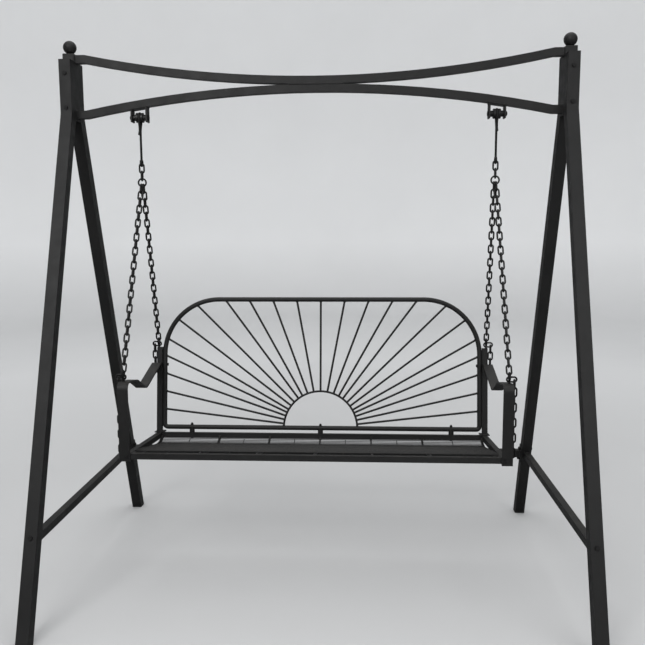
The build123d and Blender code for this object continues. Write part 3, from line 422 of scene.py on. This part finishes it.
def stretcher_welds():
    """Rear stretcher to its flanges."""
    bm = bmesh.new()
    low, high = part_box("rear_stretcher")
    y, z = (low.y + high.y) / 2, (low.z + high.z) / 2
    for side in (-1, 1):
        x = side * (high.x - FLANGE_T)
        loop = [Vector((x, y + s * STRETCHER_HALF, z + t * STRETCHER_HALF))
                for s, t in SQUARE]
        add_bead(bm, loop, TUBE_BEAD, ALONG_X, closed=True)
    return bm


def back_welds():
    """Rays to the frame and the sun, and the sun's feet to the bottom tube."""
    bm = bmesh.new()
    for points in solids("sun_rays"):
        middle, axes = main_axes(points)
        runs = along(points, middle, axes[0])
        for end, inward in ((runs.max(), -1), (runs.min(), 1)):
            at = Vector(middle) + axes[0] * (end + inward * RAY_WELD_IN)
            add_ring(bm, at, axes[0], ROD_R, ROD_BEAD)
    low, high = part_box("sun_arc")
    frame_low, frame_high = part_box("back_frame")
    foot = Vector((0, frame_low.y + BACK_R, frame_low.z + BACK_R))
    head = Vector((0, frame_high.y - BACK_R, frame_high.z - BACK_R))
    slope = (head - foot).normalized()
    for x in (low.x + ROD_R, high.x - ROD_R):
        at = foot + slope * (BACK_R + FOOT_WELD_OUT) + Vector((x, 0, 0))
        add_ring(bm, at, slope, ROD_R, ROD_BEAD)
    return bm


def seat_welds():
    """Bars to the side rails, ribs to the bars, long mesh wires to the ribs."""
    bm = bmesh.new()
    for name in ("seat_front_bar", "seat_rear_bar"):
        points = solids(name)[0]
        for side in (-1, 1):
            add_bead(bm, end_corners(points, side), BAR_BEAD, ALONG_X, closed=True)
    half_stand = cad_high.x
    wires = [points for points in solids("seat_mesh") if np.ptp(points[:, 0]) > half_stand]
    for points in solids("seat_ribs"):
        low, high = points.min(0), points.max(0)
        faces = (low[0], high[0])
        if abs(low[0] + high[0]) > half_stand:         # outer ribs lie against the rails
            faces = (high[0],) if low[0] < 0 else (low[0],)
        for y in (low[1], high[1]):
            near = points[abs(points[:, 1] - y) < RIB_END]
            for x in faces:
                line = [Vector((x, y, near[:, 2].min())), Vector((x, y, near[:, 2].max()))]
                add_bead(bm, line, STRIP_BEAD)
        for wire in wires:
            y, z = wire[:, 1].min() + 0.5 * SPOT_BEAD, wire[:, 2].min() + 0.5 * SPOT_BEAD
            add_bead(bm, [Vector((low[0], y, z)), Vector((high[0], y, z))], SPOT_BEAD)
    return bm


def upright_welds():
    """Uprights to their foot plates."""
    bm = bmesh.new()
    for name in ("left_upright", "right_upright"):
        points = solids(name)[0]
        middle = (points[:, 0].min() + points[:, 0].max()) / 2
        loop = []
        for x in (middle - UPRIGHT_HALF, middle + UPRIGHT_HALF):
            wall = points[abs(points[:, 0] - x) < SAME]
            wall = sorted((tuple(p) for p in wall), key=lambda p: p[2])
            front = wall[0]
            rear = next(p for p in wall if abs(p[1] - front[1]) > FAR_SIDE)
            pair = [Vector(front), Vector(rear)]
            loop += pair if x < middle else pair[::-1]
        add_bead(bm, loop, BAR_BEAD, ALONG_Z, closed=True)
    return bm


def link_seams(name):
    """Upset weld on one side of every link of a chain."""
    bm = bmesh.new()
    for points in solids(name):
        middle, axes = main_axes(points)
        reach = along(points, middle, axes[1]).max() - WIRE_R
        at = Vector(middle) + axes[1] * reach
        add_ring(bm, at, axes[0], WIRE_R - SEAM_SINK, SEAM_BEAD,
                 ripple=0.0, step=SEAM_STEP)
    return bm


def bolt_threads(nut_node, bolt_nodes):
    """Thread turns on the bolt end that stands out of each nut."""
    bm = bmesh.new()
    shanks = np.concatenate([p for n in bolt_nodes for p in solids(n)])
    for points in solids(nut_node):
        middle = (points.min(0) + points.max(0)) / 2
        farthest = np.argsort(-np.linalg.norm(points - middle, axis=1))
        corners = points[farthest[:NUT_CORNERS]]
        axis = main_axes(corners)[1][2]        # a nut's corners spread least along its bore
        thick = along(corners, middle, axis).max()
        radius = aside(points, middle, axis).min() - SAME
        pitch = radius * THREAD_PITCH
        inside = aside(shanks, middle, axis) < radius + SHANK_PLAY
        run = along(shanks[inside], middle, axis)
        for sign in (-1, 1):
            past = sign * run - thick
            past = past[(past > SHORTEST_END) & (past < LONGEST_END)]
            if not len(past):
                continue
            turns = past.max() / pitch
            u = axis.orthogonal().normalized()
            v = axis.cross(u)
            line = []
            for k in range(int(turns * THREAD_SIDES) + 1):
                t = 2 * math.pi * k / THREAD_SIDES
                at = Vector(middle) + axis * sign * (thick + pitch * k / THREAD_SIDES)
                line.append(at + (u * math.cos(t) + v * math.sin(t)) * (radius - THREAD_SINK))
            add_bead(bm, line, pitch * THREAD_CREST, axis, ripple=0.0, step=pitch)
    return bm


piece("beam_welds", beam_welds(), "stand", "weld")
piece("stretcher_welds", stretcher_welds(), "stand", "weld")
piece("back_welds", back_welds(), "bench", "weld")
piece("seat_welds", seat_welds(), "bench", "weld")
piece("upright_welds", upright_welds(), "bench", "weld")
for group, body, bolts in (
        ("stand", "stand", ["post_bolts", "crossbar_bolts", "stretcher_bolts"]),
        ("hanger", "stand", ["hanger_bolts"]),
        ("bench", "bench", ["back_bolts", "arm_bolts", "foot_plate_bolts"])):
    helices = bolt_threads(group + "_nuts", bolts)
    piece(group + "_threads", helices, body, "dark_fixings")
piece("top_link_seams", link_seams("top_links"), "bench", "coated_chain")
for side in ("left", "right"):
    for end in ("front", "rear"):
        chain = f"{side}_{end}_chain"
        piece(chain + "_seams", link_seams(chain), "bench", "coated_chain")
        piece(chain + "_tail_seams", link_seams(chain + "_tail"),
              f"{side}_{end}_tail", "coated_chain")

# ------------------------------------------------------------------ the studio
FLOOR_R = 8.0              # flat out to here
SWEEP_R = 3.5
SWEEP_STEPS = 16
WALL_TOP = 9.0
STUDIO_SIDES = 96


def studio_shell():
    """Round floor that sweeps up into a pale wall all the way round."""
    profile = [(FLOOR_R, 0.0)]
    for k in range(1, SWEEP_STEPS + 1):
        a = math.pi / 2 * k / SWEEP_STEPS
        profile.append((FLOOR_R + SWEEP_R * math.sin(a), SWEEP_R * (1 - math.cos(a))))
    profile.append((FLOOR_R + SWEEP_R, WALL_TOP))
    bm = bmesh.new()
    centre = bm.verts.new((0, 0, 0))
    turn = [2 * math.pi * k / STUDIO_SIDES for k in range(STUDIO_SIDES)]
    rings = [[bm.verts.new((r * math.cos(t), r * math.sin(t), z)) for t in turn]
             for r, z in profile]
    for k in range(STUDIO_SIDES):
        j = (k + 1) % STUDIO_SIDES
        bm.faces.new((centre, rings[0][k], rings[0][j]))
        for a, b in zip(rings, rings[1:]):
            bm.faces.new((a[k], b[k], b[j], a[j]))
    mesh = bpy.data.meshes.new("studio")
    bm.to_mesh(mesh)
    bm.free()
    mesh.polygons.foreach_set("use_smooth", [True] * len(mesh.polygons))
    mesh.materials.append(studio_paint("studio_paper"))
    obj = bpy.data.objects.new("studio", mesh)
    scene.collection.objects.link(obj)


studio_shell()

world = bpy.data.worlds.new("studio_light")
scene.world = world
world.use_nodes = True
sky = world.node_tree.nodes["Background"].inputs
sky["Color"].default_value = (0.96, 0.98, 1.0, 1.0)
sky["Strength"].default_value = 1.0


def soft_light(name, at, aim, size, power):
    data = bpy.data.lights.new(name, "AREA")
    data.shape = "SQUARE"
    data.size = size
    data.energy = power
    obj = bpy.data.objects.new(name, data)
    obj.location = at
    obj.rotation_mode = "QUATERNION"
    obj.rotation_quaternion = (Vector(aim) - Vector(at)).to_track_quat("-Z", "Y")
    scene.collection.objects.link(obj)


# name, place, aim, width in metres, watts
soft_light("key", (-1.5, -4.6, 3.7), (0, 0, 1.0), 2.4, 150)
soft_light("fill", (3.0, -4.0, 2.6), (0, 0, 0.9), 3.0, 60)
soft_light("top", (0, 0.4, 5.6), (0, 0, 0.6), 4.0, 60)

# ---------------------------------------------------------------------- camera
CAMERA_AT = Vector((0.1622, -2.704, 1.2733))
YAW, PITCH, ROLL = -0.0529, 0.1268, 0.0042
LENS = 42.15
SENSOR = 36.0

ahead = Vector((math.sin(YAW), math.cos(YAW), 0)) * math.cos(PITCH)
ahead.z = -math.sin(PITCH)
level = Vector((math.cos(YAW), -math.sin(YAW), 0))
down = ahead.cross(level)
right = level * math.cos(ROLL) + down * math.sin(ROLL)
below = down * math.cos(ROLL) - level * math.sin(ROLL)
lens = bpy.data.cameras.new("camera")
lens.lens = LENS
lens.sensor_width = SENSOR
lens.clip_start = 0.05
lens.clip_end = 100
camera = bpy.data.objects.new("camera", lens)
camera.matrix_world = Matrix((right, -below, -ahead)).transposed().to_4x4()
camera.location = CAMERA_AT
scene.collection.objects.link(camera)
scene.camera = camera
scene.view_settings.view_transform = "Standard"
scene.view_settings.look = "None"
